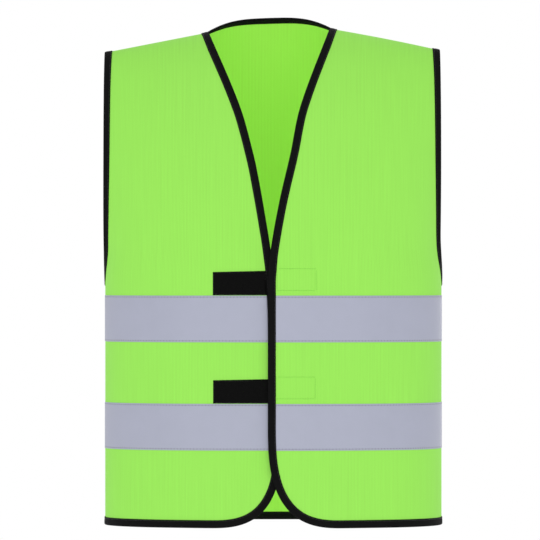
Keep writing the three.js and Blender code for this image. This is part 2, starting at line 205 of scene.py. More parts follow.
# ---- The surface that the cloth lies in ----
# A spot of a panel is an angle round the body, 0 at the middle and a quarter turn at the side seam,
# and a rise: a share of the height up to the shoulder line, negative below the armhole, and an
# angle above it, where the cloth curves over to the shoulder seam at a quarter turn.


class Panel:
    """One panel of the shell. side is -1 for a front and 1 for the back, hand is 1 for the left."""

    def __init__(self, body, side, hand, depth, edge=()):
        self.body, self.side, self.hand, self.depth = body, side, hand, depth
        self.heights, self.xs = np.array(edge, float).reshape(-1, 2).T
        if len(self.heights):
            order = np.arange(len(self.heights))
            after, before = np.minimum(order + 1, order[-1]), np.maximum(order - 1, 0)
            self.slopes = (self.xs[after] - self.xs[before]) / (
                self.heights[after] - self.heights[before])


def neckline(points):
    """Points of a neckline, given as shares of the height from the foot of the V to the neck."""
    return [(V_FOOT + (SHOULDER_NECK - V_FOOT) * share, x) for share, x in points]


BACK = Panel("back", 1, 0, BACK_DEPTH)
LEFT = Panel("left_front", -1, 1, FRONT_DEPTH + OVERLAP_STEP, [
    (V_FOOT, LEFT_EDGE_X), *neckline(LEFT_NECKLINE),
    (SHOULDER_NECK + WORN_SHOULDERS[1][1], NECK_LEFT_X)])
RIGHT = Panel("right_front", -1, -1, FRONT_DEPTH, [
    (0, RIGHT_HEM_X), (V_FOOT, RIGHT_EDGE_X), *neckline(RIGHT_NECKLINE),
    (SHOULDER_NECK + WORN_SHOULDERS[-1][1], NECK_RIGHT_X)])


def signed_power(value, power):
    return np.sign(value) * np.abs(value) ** power


def smooth_step(share):
    """Goes from 0 to 1 with level ends."""
    t = np.clip(share, 0, 1)
    return t * t * (3 - 2 * t)


def unit(vectors):
    return vectors / np.maximum(np.linalg.norm(vectors, axis=-1, keepdims=True), 1e-12)


def across_neck(x):
    """Where x lies between the neck ends: -1 at the right one and 1 at the left one."""
    return (x - (NECK_LEFT_X + NECK_RIGHT_X) / 2) / ((NECK_LEFT_X - NECK_RIGHT_X) / 2)


def ridge_height(x):
    """Height of the shoulder line at x: a straight rise to the neck, bowed up by a sine, and
    between the neck ends a cosine over the line that joins them. One shoulder hangs lower."""
    neck = np.where(x < 0, -NECK_RIGHT_X, NECK_LEFT_X)
    end, root, swell = (np.where(x < 0, low, high)
                        for low, high in zip(WORN_SHOULDERS[-1], WORN_SHOULDERS[1]))
    share = (HALF_WIDTH - np.abs(x)) / (HALF_WIDTH - neck)
    bowed = share + swell * np.sin(np.pi * share)
    outer, inner = SHOULDER_END + end, SHOULDER_NECK + root
    across = across_neck(x)
    low, high = (WORN_SHOULDERS[hand][1] for hand in (-1, 1))
    nape = SHOULDER_NECK + low + (high - low) * (across + 1) / 2 + NAPE_LIFT * np.cos(
        QUARTER * np.clip(across, -1, 1))
    return np.where(np.abs(x) >= neck, outer + (inner - outer) * bowed, nape)


def climb(rise):
    return np.where(rise > 0, np.sin(rise), rise)


def height_at(x, rise):
    return ARMHOLE_BOTTOM + (ridge_height(x) - ARMHOLE_BOTTOM) * climb(rise)


def rise_at(x, height):
    share = (height - ARMHOLE_BOTTOM) / (ridge_height(x) - ARMHOLE_BOTTOM)
    return np.where(share > 0, np.arcsin(np.clip(share, 0, 1)), share)


def outer_angle(panel, rise):
    """Angle where a panel ends: the side seam, or the armhole, which is an oval from the side."""
    share = np.maximum(climb(rise), 0)
    depth = (ARMHOLE_DEPTH / panel.depth) * np.sqrt(share / (1 + share))
    return np.arccos(depth ** (1 / SQUARENESS))


def across_at(panel, angle, rise):
    turned = np.sin(angle) / np.sin(outer_angle(panel, rise))
    return HALF_WIDTH * signed_power(turned, SQUARENESS)


def angle_at(panel, x, rise):
    sine = signed_power(x / HALF_WIDTH, 1 / SQUARENESS) * np.sin(outer_angle(panel, rise))
    return np.arcsin(np.clip(sine, -1, 1))


def cloth_point(panel, angle, rise):
    """x is the sine of the angle and y its cosine, both to a power under one so that the plan is a
    rounded square; y also shrinks with the cosine of the rise towards the shoulder seam. Beside an
    armhole the cloth is drawn in, by an amount that first grows and then dies away with the
    distance from the armhole's edge, so that the edge itself flares a little."""
    x = across_at(panel, angle, rise)
    reach = panel.depth * np.cos(np.maximum(rise, 0))
    depth = reach * np.maximum(np.cos(angle), 0) ** SQUARENESS
    edge = reach * np.maximum(np.cos(outer_angle(panel, rise)), 0) ** SQUARENESS
    off = np.hypot(HALF_WIDTH - np.abs(x), depth - edge)
    share = np.maximum(climb(rise), 0)
    beside = smooth_step(share / 0.14) * (1 - smooth_step((share - 0.5) / 0.45))
    drawn = DRAWN_IN * beside * (1 - np.exp(-off / 0.01)) * np.exp(-off / 0.055)
    tight = np.where(x > 0, LEFT_PULL, 0.0) * smooth_step(share / 0.2) * np.exp(-off / 0.05)
    moved = x - np.sign(x) * (drawn + tight) * smooth_step(np.abs(x) / 0.09)
    return np.stack([moved, panel.side * (SEAM_GAP / 2 + depth), height_at(x, rise)], -1)


def slopes_at(panel, angle, rise):
    """Point and its two slopes, by central differences that stay on the panel."""
    step = 0.006
    limit = outer_angle(panel, rise)
    low, high = np.clip(angle - step, -limit, limit), np.clip(angle + step, -limit, limit)
    under, over = rise - step, np.minimum(rise + step, QUARTER)
    across = cloth_point(panel, high, rise) - cloth_point(panel, low, rise)
    up = cloth_point(panel, angle, over) - cloth_point(panel, angle, under)
    return (cloth_point(panel, angle, rise), across / (high - low)[..., None],
            up / (over - under)[..., None])


def outward(panel, across, up):
    return -panel.side * unit(np.cross(across, up))


def sway(point, side):
    """How far the worn cloth stands off its even shape: two slow sine waves across the body that
    wander with height, calm at the seams and growing to the hem, and a groove along each seam."""
    x, y, height = point[..., 0], np.abs(point[..., 1]), point[..., 2]
    wander = 1.4 * np.sin(2 * np.pi * height / 0.47 + side)
    waves = np.sin(2 * np.pi * x / 0.112 + wander) + 0.5 * np.sin(2 * np.pi * x / 0.067 - wander)
    low = 0.3 + 0.7 * smooth_step(1 - height / 0.5)
    groove = 0.0004 * np.exp(-((y / 0.0016) ** 2))
    return sizes().drape * waves * low * smooth_step(y / 0.06) - groove


def lowered(point):
    return point + np.array([0, 0, HEM])


def lie(panel, angle, rise, offset):
    """Points at an offset from the middle of the cloth, square to it, and the way out of it."""
    point, across, up = slopes_at(panel, angle, rise)
    out = outward(panel, across, up)
    return lowered(point) + out * (offset + sway(point, panel.side))[..., None], out


def spot_at(panel, x, height):
    """Angle and rise of the spot of a panel at x and a height."""
    rise = rise_at(x, height)
    return angle_at(panel, x, rise), rise


def nearest_spot(panel, angle, rise, target):
    """Spot of the cloth nearest to a target point, by Newton steps from a spot close to it."""
    angle, rise = np.broadcast_arrays(angle, rise)
    for _ in range(5):
        point, across, up = slopes_at(panel, angle, rise)
        rest = target - point
        aa, au, uu = (across * across).sum(-1), (across * up).sum(-1), (up * up).sum(-1)
        a, u = (rest * across).sum(-1), (rest * up).sum(-1)
        size = aa * uu - au * au
        rise = np.minimum(rise + (u * aa - a * au) / size, QUARTER)
        limit = outer_angle(panel, rise)
        angle = np.clip(angle + (a * uu - u * au) / size, -limit, limit)
    return angle, rise


# ---- Outlines of the panels ----

LOWER_ROWS, UPPER_ROWS = 96, 104  # of a panel's grid, below and above the armhole's bottom
EDGE_COLUMNS, EDGE_REACH, SIDE_COLUMNS = 36, 0.075, 56  # of a front's grid
SHOULDER_COLUMNS, NECK_COLUMNS = 56, 64  # of the back's grid


def free_edge(panel, height):
    """x of a front's free edge at a height: a cubic through the given points, with the slope at
    each point that its two neighbours give."""
    h, x, m = panel.heights, panel.xs, panel.slopes
    i = np.clip(np.searchsorted(h, height) - 1, 0, len(h) - 2)
    width = h[i + 1] - h[i]
    t = np.clip((height - h[i]) / width, 0, 1)
    bend = width * t * (1 - t) * ((1 - t) * m[i] - t * m[i + 1])
    return x[i] + (x[i + 1] - x[i]) * t * t * (3 - 2 * t) + bend


def free_edge_angle(panel, rise):
    x = free_edge(panel, np.full_like(rise, ARMHOLE_BOTTOM))
    for _ in range(6):
        x = free_edge(panel, height_at(x, rise))
    return angle_at(panel, x, rise)


def hem_height(distance):
    """Height of a front's lower edge at a distance from its free edge: a rounded corner."""
    share = np.maximum(1 - distance / CORNER_WIDTH, 0)
    rounded = 1 - (1 - share ** CORNER_SHAPE) ** (1 / CORNER_SHAPE)
    return HEM_LIFT + (CORNER_HEIGHT - HEM_LIFT) * rounded


def beside_binding(panel, height):
    """x of the inner edge of a front's binding at a height."""
    upright = np.maximum(1 - height / CORNER_HEIGHT, 0) ** CORNER_SHAPE
    rounded = CORNER_WIDTH * (1 - (1 - upright) ** (1 / CORNER_SHAPE))
    return free_edge(panel, height) + panel.hand * (rounded + BINDING_REACH - TUCKED)


def upper_shares(rows):
    """Shares of the way up from the armhole's bottom, closer together at both ends."""
    even = np.linspace(0, 1, rows + 1)
    turned = even - np.sin(2 * np.pi * even) / (4 * np.pi)
    return np.arcsin(np.sin(QUARTER * turned) ** 2) / QUARTER


def column_rises(foot, top):
    """Rises of each column's rows, from its foot through the armhole's height to its top."""
    lower = np.linspace(1, 0, LOWER_ROWS + 1)[:-1]
    return np.concatenate([
        foot[:, None] * lower, top[:, None] * upper_shares(UPPER_ROWS)], axis=1)


def front_grid(panel):
    """Angles and rises of a front, column by column from its free edge to its outer edge."""
    start = free_edge(panel, np.array(0.0))
    near = start + panel.hand * EDGE_REACH * (np.arange(EDGE_COLUMNS) / EDGE_COLUMNS) ** 1.6
    reached = panel.hand * angle_at(panel, start + panel.hand * EDGE_REACH, np.array(0.0))
    angles = np.concatenate([
        panel.hand * angle_at(panel, near, np.zeros(EDGE_COLUMNS)),
        np.linspace(reached, QUARTER, SIDE_COLUMNS + 1)])
    shares = (angles - angles[0]) / (QUARTER - angles[0])

    def turned(rise):
        inner = free_edge_angle(panel, rise)
        return inner + (panel.hand * outer_angle(panel, rise) - inner) * shares[:, None]

    flat = rise_at(np.array(0.0), np.array(0.0)) * np.ones((len(shares), 1))
    x = across_at(panel, turned(flat), flat)[:, 0]
    foot = rise_at(x, hem_height(np.abs(x - start)))
    rise = column_rises(foot, np.full(len(shares), QUARTER))
    return turned(rise), rise


def back_top(share):
    """Rise of the back's top edge: the shoulder seams and the neckline cut between them."""
    x = across_at(BACK, share * outer_angle(BACK, np.array(QUARTER)), np.array(QUARTER))
    return QUARTER - NAPE_CUT * np.cos(QUARTER * np.clip(across_neck(x), -1, 1))


def neck_shares():
    """Shares of the back's width at the two neck ends of the shoulder seams."""
    top = np.array(QUARTER)
    return [float(angle_at(BACK, np.array(x), top) / outer_angle(BACK, top))
            for x in (NECK_LEFT_X, NECK_RIGHT_X)]


def back_grid():
    """Angles and rises of the back, column by column from its left side to its right side."""
    left, right = neck_shares()
    turn = (1 - np.cos(np.pi * np.arange(NECK_COLUMNS) / NECK_COLUMNS)) / 2
    shares = np.concatenate([
        np.linspace(1, left, SHOULDER_COLUMNS + 1)[:-1], left + (right - left) * turn,
        np.linspace(right, -1, SHOULDER_COLUMNS + 1)])
    low = np.full(len(shares), -1.0)
    x = across_at(BACK, shares * QUARTER, low)
    rise = column_rises(rise_at(x, np.full(len(shares), HEM_LIFT)), back_top(shares))
    return shares[:, None] * outer_angle(BACK, rise), rise


# ---- Meshes ----


def signed_volume(points, polygons):
    """Six times the volume inside a closed mesh, negative if its faces point inwards."""
    total = 0.0
    for faces in polygons:
        a = points[faces[:, 0]]
        for k in range(1, faces.shape[1] - 1):
            total += (a * np.cross(points[faces[:, k]], points[faces[:, k + 1]])).sum()
    return total


def mesh_piece(name, points, polygons, material, uv=None, smooth=True):
    """A closed mesh from points and arrays of faces, turned so that its faces point outwards."""
    points = np.ascontiguousarray(points, np.float64)
    if signed_volume(points - points.mean(0), polygons) < 0:
        polygons = [faces[:, ::-1] for faces in polygons]
    corners = np.concatenate([faces.ravel() for faces in polygons]).astype(np.int32)
    counts = np.concatenate([np.full(len(faces), faces.shape[1]) for faces in polygons])
    starts = np.concatenate([[0], np.cumsum(counts)[:-1]]).astype(np.int32)
    mesh = bpy.data.meshes.new(name)
    mesh.vertices.add(len(points))
    mesh.vertices.foreach_set("co", points.astype(np.float32).ravel())
    mesh.loops.add(len(corners))
    mesh.loops.foreach_set("vertex_index", corners)
    mesh.polygons.add(len(counts))
    mesh.polygons.foreach_set("loop_start", starts)
    mesh.polygons.foreach_set("use_smooth", np.full(len(counts), smooth))
    mesh.update(calc_edges=True)
    if uv is not None:
        layer = mesh.uv_layers.new(name="lie")
        layer.data.foreach_set("uv", uv[corners].astype(np.float32).ravel())
    if mesh.validate():
        raise ValueError(f"{name} came out with broken faces")
    mesh.materials.append(material)
    made = bpy.data.objects.new(name, mesh)
    bpy.context.scene.collection.objects.link(made)
    return made


def grid_faces(columns, rows, start=0):
    """Quads of a grid of points that are stored column by column."""
    c, r = np.meshgrid(np.arange(columns - 1), np.arange(rows - 1), indexing="ij")
    first = (start + c * rows + r).ravel()
    return np.stack([first, first + rows, first + rows + 1, first + 1], 1)


def slab(name, outer, inner, material, uv):
    """A closed sheet with two faces, each a grid of points, and a rim that joins their borders."""
    columns, rows = outer.shape[:2]
    count = columns * rows
    index = np.arange(count).reshape(columns, rows)
    border = np.concatenate([
        index[:-1, 0], index[-1, :-1], index[:0:-1, -1], index[0, :0:-1]])
    after = np.roll(border, -1)
    top = grid_faces(columns, rows)
    rim = np.stack([after, border, border + count, after + count], 1)
    points = np.concatenate([outer.reshape(-1, 3), inner.reshape(-1, 3)])
    both = np.concatenate([uv.reshape(-1, 2), uv.reshape(-1, 2)])
    return mesh_piece(name, points, [top, top[:, ::-1] + count, rim], material, both)


def tube_walls(index):
    """Quads between the rings of a tube, given its points' numbers ring by ring."""
    here, there = index[:-1], index[1:]
    walls = np.stack([here, there, np.roll(there, -1, 1), np.roll(here, -1, 1)], -1)
    return walls.reshape(-1, 4)


def along(points):
    """Length walked along a line of points, at each point."""
    steps = np.linalg.norm(np.diff(points, axis=0), axis=1)
    return np.concatenate([[0], np.cumsum(steps)])


def carried(name, sections, material, uv):
    """A closed profile carried along a path: sections holds one ring of points for each step."""
    steps, ring = sections.shape[:2]
    index = np.arange(steps * ring).reshape(steps, ring)
    caps = np.stack([index[0][::-1], index[-1]])
    return mesh_piece(
        name, sections.reshape(-1, 3), [tube_walls(index), caps], material, uv.reshape(-1, 2))


def read_along(length, walked, values):
    """Rows of values at lengths along a line."""
    return np.stack([np.interp(length, walked, values[:, k]) for k in range(3)], 1)


def laid(name, panel, x, height, under, over, material, uv):
    """A piece laid on a panel at a grid of x and heights, between two offsets from its middle."""
    angle, rise = spot_at(panel, x, height)
    far, near = lie(panel, angle, rise, over)[0], lie(panel, angle, rise, under)[0]
    return slab(name, far, near, material, uv)


# ---- Materials ----


def linked(tree, kind, inputs=(), **values):
    """A new node of a kind, with its settings and its inputs, each a value or a socket."""
    made = tree.nodes.new(kind)
    for key, value in values.items():
        setattr(made, key, value)
    for key, value in dict(inputs).items():
        if isinstance(value, bpy.types.NodeSocket):
            tree.links.new(value, made.inputs[key])
        else:
            made.inputs[key].default_value = value
    return made


def maths(tree, operation, *inputs):
    return linked(tree, "ShaderNodeMath", enumerate(inputs), operation=operation).outputs[0]


def finish_material(name, roughness, sheen=0.0, metallic=0.0, specular=0.5):
    """A material with a principled shader, whose even values stand on the shader's own sockets."""
    material = bpy.data.materials.new(name)
    material.use_nodes = True
    tree = material.node_tree
    tree.nodes.clear()
    shader = linked(tree, "ShaderNodeBsdfPrincipled", {
        "Roughness": roughness, "Sheen Weight": sheen, "Sheen Roughness": 0.5,
        "Metallic": metallic, "Specular IOR Level": specular})
    output = linked(tree, "ShaderNodeOutputMaterial")
    tree.links.new(shader.outputs[0], output.inputs["Surface"])
    return material, tree, shader


def product(tree, *factors):
    """The factors multiplied one after the other."""
    total = factors[0]
    for factor in factors[1:]:
        total = maths(tree, "MULTIPLY", total, factor)
    return total


def ribs(tree, length, pitch):
    """A sine along a length, one wave for each pitch."""
    return maths(tree, "SINE", maths(tree, "MULTIPLY", length, 2 * math.pi / pitch))


def tint(tree, shader, colour, factor):
    """Gives a shader a colour made darker or lighter by a factor that changes over the surface."""
    mixed = linked(tree, "ShaderNodeVectorMath", {0: (*colour[:3],), "Scale": factor},
                   operation="SCALE")
    tree.links.new(mixed.outputs[0], shader.inputs["Base Color"])


def roughen(tree, shader, value, low, high):
    tree.links.new(spread(tree, value, low, high), shader.inputs["Roughness"])


def light_up(shader, colour, strength):
    """Lets a surface give a little light of its own."""
    shader.inputs["Emission Color"].default_value = (*colour[:3], 1.0)
    shader.inputs["Emission Strength"].default_value = strength


def spread(tree, value, low, high, start=0.0, end=1.0):
    """A value that goes from start to end, spread between two others."""
    return linked(tree, "ShaderNodeMapRange", {
        0: value, 1: start, 2: end, 3: low, 4: high}).outputs[0]


def speckle(tree, vector, scale, detail=2.0):
    return linked(tree, "ShaderNodeTexNoise", {
        "Vector": vector, "Scale": scale, "Detail": detail}).outputs[0]


def set_bump(tree, shader, height, distance, strength):
    bump = linked(tree, "ShaderNodeBump", {
        "Height": height, "Distance": distance, "Strength": strength})
    tree.links.new(bump.outputs[0], shader.inputs["Normal"])


def lie_map(tree):
    """The piece's own map in metres: its vector, and how far along and how far across."""
    found = linked(tree, "ShaderNodeUVMap", uv_map="lie").outputs[0]
    parts = linked(tree, "ShaderNodeSeparateXYZ", {0: found})
    return found, parts.outputs[0], parts.outputs[1]


def knit_material(name, painted_glow, strength):
    """Fine knit: upright wales that waver with the courses, with painted shade in the grooves between
    them, faint streaks along the wales, and a painted glow of its own that lifts its shade, in place of
    a fluorescent dye's brightness. The inside of the back has a stronger painted glow, in place of the
    light that comes through the cloth."""
    material, tree, shader = finish_material(name, 0.82, sheen=0.05, specular=0.15)
    vector, u, v = lie_map(tree)
    pitch = sizes().wale_pitch
    bend = product(tree, ribs(tree, v, pitch * 1.25), 0.7)
    bent = maths(tree, "MULTIPLY_ADD", u, 2 * math.pi / pitch, bend)
    wale = maths(tree, "MULTIPLY_ADD", maths(tree, "SINE", bent), 0.5, 0.5)
    stretched = linked(tree, "ShaderNodeMapping", {0: vector, "Scale": (1.0, 0.018, 1.0)}).outputs[0]
    streak = speckle(tree, stretched, 640.0, 3.0)
    cloudy, fuzz = speckle(tree, vector, 22.0), speckle(tree, vector, 2600.0)
    # Painted shade: the knit is darker in the grooves between its wales, where the relief dips
    tone = product(tree, spread(tree, streak, 0.935, 1.055), spread(tree, wale, 0.94, 1.03),
                   spread(tree, cloudy, 0.985, 1.015))
    tint(tree, shader, colours().knit, tone)
    roughen(tree, shader, fuzz, 0.74, 0.9)
    relief = maths(tree, "ADD", wale, product(tree, fuzz, 0.6))
    set_bump(tree, shader, relief, 0.00012, 0.5)
    # Painted glow: the knit gives a little light of its own, which lifts its shade
    light_up(shader, painted_glow, strength)
    return material


def tape_material():
    """Reflective tape: a grain of glass beads, faint clouding, and painted shade in the needle holes
    along both edges, one at each end of every stitch, and along the dips of the stitch rows."""
    material, tree, shader = finish_material("beaded_tape", 0.46, metallic=0.08, specular=0.4)
    vector, u, v = lie_map(tree)
    beads = linked(tree, "ShaderNodeTexVoronoi", {"Vector": vector, "Scale": 2600.0}).outputs[0]
    cloudy = speckle(tree, vector, 60.0, 4.0)
    pitch, inset = sizes().stitch_pitch, sizes().tape_stitch_inset
    step = maths(tree, "FRACT", maths(tree, "MULTIPLY_ADD", u, 1 / pitch, 0.5))
    over = product(tree, maths(tree, "SUBTRACT", step, 0.5), pitch)
    nearest = maths(tree, "MINIMUM", v, maths(tree, "SUBTRACT", TAPE_WIDTH, v))
    off = maths(tree, "SUBTRACT", nearest, inset)
    squared = maths(tree, "MULTIPLY_ADD", over, over, product(tree, off, off))
    # Painted shade: darker in each needle hole and along the dip of each row of stitches
    needle_hole_shade = spread(tree, maths(tree, "SQRT", squared), 0.6, 1.0, 0.0002, 0.0009)
    line = spread(tree, maths(tree, "ABSOLUTE", off), 0.92, 1.0, 0.0002, 0.0011)
    tint(tree, shader, colours().tape, product(tree, spread(tree, cloudy, 0.965, 1.035), needle_hole_shade, line))
    roughen(tree, shader, cloudy, 0.4, 0.54)
    set_bump(tree, shader, beads, 0.00008, 0.35)
    return material


def binding_material():
    """Woven binding: cross ribs along its run and a fine fuzz, dull with a soft sheen."""
    material, tree, shader = finish_material("black_binding", 0.8, specular=0.08)
    vector, u, v = lie_map(tree)
    cross = ribs(tree, v, 0.0009)
    fuzz = speckle(tree, vector, 1800.0, 3.0)
    worn = speckle(tree, vector, 90.0, 3.0)
    weave = maths(tree, "MULTIPLY_ADD", ribs(tree, u, 0.0011), 0.5,
                  maths(tree, "MULTIPLY_ADD", cross, 0.25, 0.5))
    tone = product(tree, spread(tree, weave, 0.8, 1.15), spread(tree, worn, 0.75, 1.3))
    tint(tree, shader, colours().binding, tone)
    roughen(tree, shader, fuzz, 0.7, 0.92)
    set_bump(tree, shader, maths(tree, "ADD", weave, fuzz), 0.00015, 0.6)
    return material


def pile_material(name, scale, roughness):
    """Black strip: a tangle of loops, or the moulded ground of the hooks."""
    material, tree, shader = finish_material(name, roughness, specular=0.1)
    vector = lie_map(tree)[0]
    tangle = speckle(tree, vector, scale, 4.0)
    loops = linked(tree, "ShaderNodeTexVoronoi", {"Vector": vector, "Scale": scale}).outputs[0]
    tone = product(tree, spread(tree, tangle, 0.6, 1.5), spread(tree, loops, 1.2, 0.7))
    tint(tree, shader, colours().pile, tone)
    set_bump(tree, shader, maths(tree, "SUBTRACT", tangle, loops), 0.0004, 0.8)
    return material


def thread_material(name, colour, painted_glow):
    """Sewing thread: fine twist lines on a slightly glossy yarn, and a painted glow of its own where a
    strength is given.
    """
    material, tree, shader = finish_material(name, 0.55, sheen=0.1, specular=0.35)
    place = linked(tree, "ShaderNodeTexCoord").outputs["Object"]
    twist = linked(tree, "ShaderNodeTexWave", {
        "Vector": place, "Scale": 900.0, "Distortion": 1.5}, bands_direction="DIAGONAL").outputs[1]
    tint(tree, shader, colour, spread(tree, twist, 0.8, 1.1))
    set_bump(tree, shader, twist, 0.00006, 0.5)
    light_up(shader, colour, painted_glow)
    return material


def satin_material():
    """Woven satin of the label: long floats across a fine ground."""
    material, tree, shader = finish_material("white_satin", 0.36, sheen=0.1)
    vector, _, v = lie_map(tree)
    even = maths(tree, "MULTIPLY_ADD", ribs(tree, v, 0.0006), 0.3, speckle(tree, vector, 900.0))
    tint(tree, shader, colours().label, spread(tree, even, 0.93, 1.0))
    set_bump(tree, shader, even, 0.00006, 0.5)
    return material


def floor_material():
    """Pale matt floor with a very faint unevenness."""
    material, tree, shader = finish_material("pale_floor", 0.9, specular=0.1)
    place = linked(tree, "ShaderNodeTexCoord").outputs["Object"]
    tone = spread(tree, speckle(tree, place, 3.0, 3.0), 0.985, 1.015)
    tint(tree, shader, colours().floor, tone)
    light_up(shader, WHITE_STUDIO, 0.3)
    return material


def material(name):
    """A material by name, made the first time that a piece needs it. The names differ from those of
    the frame's own plain materials."""
    if name in bpy.data.materials:
        return bpy.data.materials[name]
    kinds = {
        # Painted glow: both knits give light of their own; the inside's is stronger and brighter, to
        # lift its shade
        "lime_knit": lambda: knit_material("lime_knit", colours().knit, 0.03),
        "lime_knit_inside_painted_glow": lambda: knit_material("lime_knit_inside_painted_glow", colours().painted_glow, 0.2),
        "beaded_tape": tape_material,
        "black_binding": binding_material,
        "black_loops": lambda: pile_material("black_loops", 1300.0, 0.95),
        "black_hooks": lambda: pile_material("black_hooks", 1900.0, 0.6),
        "white_satin": satin_material,
        "black_thread": lambda: thread_material("black_thread", (0.012, 0.012, 0.013), 0.0),
        "grey_thread": lambda: thread_material("grey_thread", (0.33, 0.34, 0.43), 0.0),
        # Painted glow: the lime thread gives a little light of its own
        "lime_thread": lambda: thread_material("lime_thread", (0.27, 0.68, 0.08), 0.04),
        "pale_floor": floor_material,
    }
    return kinds[name]()


# ---- How pieces go with the frame ----


def put(piece, panel, slot, *nodes):
    """Gives a piece its slot and hides the solids that it stands for. A piece of the back moves with
    the back's body; a front's piece has its place baked into its points."""
    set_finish(piece, slot)
    if nodes:
        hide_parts(*nodes)
    if panel is BACK:
        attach(piece, "back")
    else:
        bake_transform(piece)


# ---- Edges that carry a binding ----

EDGE_STEP = 0.0016  # along an edge


class Edge:
    """A run of a panel's edge, evenly stepped, with the direction across the panel at each step."""

    def __init__(self, panel, angle, rise, first, last):
        point = cloth_point(panel, angle, rise)
        walked = along(point)
        even = np.linspace(0, walked[-1], int(walked[-1] / EDGE_STEP) + 1)
        self.panel, self.length = panel, even
        self.angle, self.rise = np.interp(even, walked, angle), np.interp(even, walked, rise)
        self.point, across, up = slopes_at(panel, self.angle, self.rise)
        self.out = outward(panel, across, up)
        inward = unit(np.cross(self.out, np.gradient(self.point, axis=0)))
        for end, row, walk in ((first, 0, even), (last, -1, even[-1] - even)):
            seam = unit(across[row]) * end if isinstance(end, int) else np.array(end, float)
            share = 1 - smooth_step(walk / 0.014)[:, None]
            inward = unit(inward * (1 - share) + seam * share)
        self.inward = inward

    def line(self, inset, offset):
        """Points at an inset from the panel's edge and an offset from the middle of the cloth."""
        inset, offset = np.broadcast_to(inset, self.rise.shape), np.broadcast_to(
            offset, self.rise.shape)
        target = self.point + self.inward * inset[:, None]
        angle, rise = nearest_spot(self.panel, self.angle, self.rise, target)
        laid_on, out = lie(self.panel, angle, rise, offset)
        off = self.out * (offset + sway(self.point, self.panel.side))[:, None]
        inside = (inset > 0)[:, None]
        return np.where(inside, laid_on, lowered(target) + off), np.where(inside, out, self.out)


def front_edge(panel):
    """The free edge of a front, from the shoulder down round its corner and along the hem."""
    rise = QUARTER * upper_shares(500)[::-1]
    corner = float(rise_at(free_edge(panel, CORNER_HEIGHT), CORNER_HEIGHT))
    rise = np.concatenate([rise, np.linspace(0, corner, 80)[1:]])
    upright = free_edge_angle(panel, rise), rise
    turn = np.linspace(0, QUARTER, 160)[1:]
    distance = CORNER_WIDTH * (1 - np.cos(turn) ** (2 / CORNER_SHAPE))
    height = HEM_LIFT + (CORNER_HEIGHT - HEM_LIFT) * (1 - np.sin(turn) ** (2 / CORNER_SHAPE))
    x = free_edge(panel, height) + panel.hand * distance
    bend = spot_at(panel, x, height)
    angle = np.linspace(float(bend[0][-1]), panel.hand * QUARTER, 200)[1:]
    x = across_at(panel, angle, np.full_like(angle, -1))
    hem = spot_at(panel, x, np.full_like(x, HEM_LIFT))
    angle, rise = (np.concatenate(parts) for parts in zip(upright, bend, hem))
    if panel.hand > 0:
        return Edge(panel, angle, rise, 1, (0, 0, 1))
    return Edge(panel, angle[::-1], rise[::-1], (0, 0, 1), -1)


def armhole_edge(panel, hand):
    """One panel's share of an armhole, from its bottom to the shoulder or back down."""
    rise = QUARTER * upper_shares(500)
    angle = hand * outer_angle(panel, rise)
    if hand * -panel.side > 0:
        return Edge(panel, angle, rise, (0, 0, -1), -hand)
    return Edge(panel, angle[::-1], rise[::-1], -hand, (0, 0, -1))


def back_neck_edge():
    left, right = neck_shares()
    share = np.linspace(right, left, 300)
    rise = back_top(share)
    return Edge(BACK, share * outer_angle(BACK, rise), rise, -1, 1)


def back_hem_edge():
    angle = np.linspace(QUARTER, -QUARTER, 500)
    x = across_at(BACK, angle, np.full_like(angle, -1))
    return Edge(BACK, *spot_at(BACK, x, np.full_like(x, HEM_LIFT)), (0, 0, 1), (0, 0, 1))


# Half of a binding's section in millimetres, from the middle of its fold over the outer face and
# back along the cloth: distance in from the panel's edge, and distance from the cloth's middle.
BINDING_FACE = np.array([
    (-1.1, 0.0), (-1.06, 0.45), (-0.85, 0.9), (-0.35, 1.24), (0.4, 1.4), (1.8, 1.44), (3.4, 1.38),
    (4.8, 1.26), (5.6, 1.1), (6.1, 1.04), (6.6, 1.1), (7.1, 1.12), (7.4, 0.98), (7.5, 0.72),
    (7.46, 0.49), (6.1, 0.47), (3.4, 0.5), (0.6, 0.55), (-0.1, 0.42), (-0.35, 0.0),
]) / 1000
SEAM_INSET = 0.0061  # panel's edge to the row of stitches that holds its binding


def ripple(length, pitch, seed):
    """Uneven handwork along a run: three slow sines of unrelated lengths, from -1 to 1."""
    phase = seed * 1.7
    return (np.sin(length / 0.031 + phase) + np.sin(length / 0.0137 - phase * 2)
            + 0.6 * np.sin(length / pitch + phase * 3)) / 2.6


def binding(name, edge, node, seed):
    """A U section carried along an edge. Its faces swell between the stitches, and its inner rim
    wavers a little, as a tape fed by hand does."""
    face = BINDING_FACE
    mirrored = face[1:-1][::-1] * (1, -1)
    section = np.concatenate([face, mirrored])
    puff = 0.00007 * np.cos(2 * np.pi * edge.length / sizes().stitch_pitch)
    waver = 0.00006 * (ripple(edge.length, 0.006, seed) - 1)
    calm = smooth_step(edge.length / 0.01) * smooth_step((edge.length[-1] - edge.length) / 0.01)
    rings = []
    for inset, offset in section:
        near = math.exp(-(((inset - SEAM_INSET) / 0.0012) ** 2))
        outer = abs(offset) > 0.0006
        swell = puff * calm * near * outer * math.copysign(1, offset)
        rings.append(edge.line(inset + waver * calm * max(inset, 0) / BINDING_REACH, offset + swell)[0])
    sections = np.stack(rings, 1)
    around = np.concatenate([[0], np.cumsum(np.linalg.norm(np.diff(section, axis=0), axis=1))])
    uv = np.stack(np.broadcast_arrays(edge.length[:, None], around[None]), -1)
    made = carried(name, sections, material("black_binding"), uv)
    put(made, edge.panel, "binding", node)


# ---- Stitches ----


